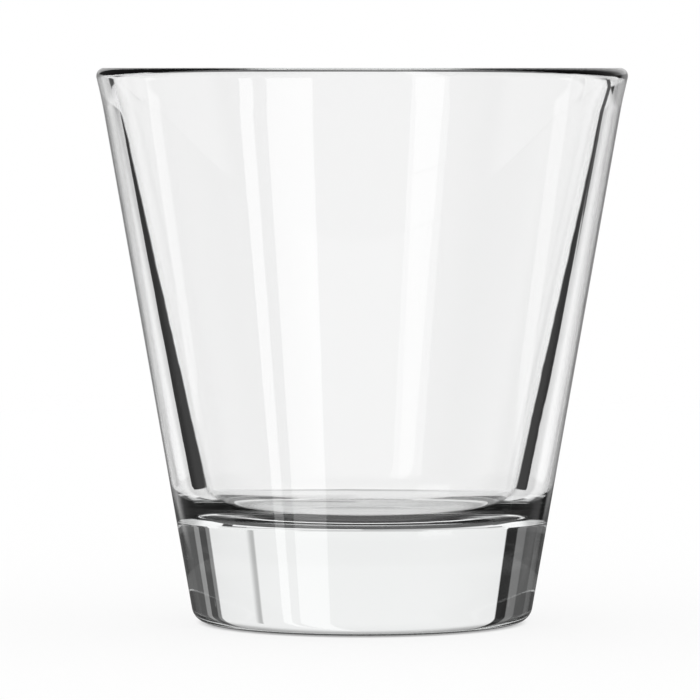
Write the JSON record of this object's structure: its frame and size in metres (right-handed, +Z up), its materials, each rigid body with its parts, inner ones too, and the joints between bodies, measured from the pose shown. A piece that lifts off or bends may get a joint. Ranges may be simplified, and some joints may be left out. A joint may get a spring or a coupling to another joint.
{
  "type": "double old fashioned glass",
  "caption": "Round tapered drinking glass of clear pressed glass, with a thick solid base, a rounded lip and a conical cavity that holds a drink with ice.",
  "frame": {"origin": "centre of the foot, on the table plane that the bearing ring stands on", "axes": "+Z up along the axis of the glass, towards its mouth; X and Y are free, because the glass is round"},
  "size_m": [0.0982, 0.0982, 0.1025],
  "materials": {
    "clear_glass": "gloss"
  },
  "bodies": {
    "root": {"glass_tumbler": "clear_glass"}
  },
  "joints": []
}
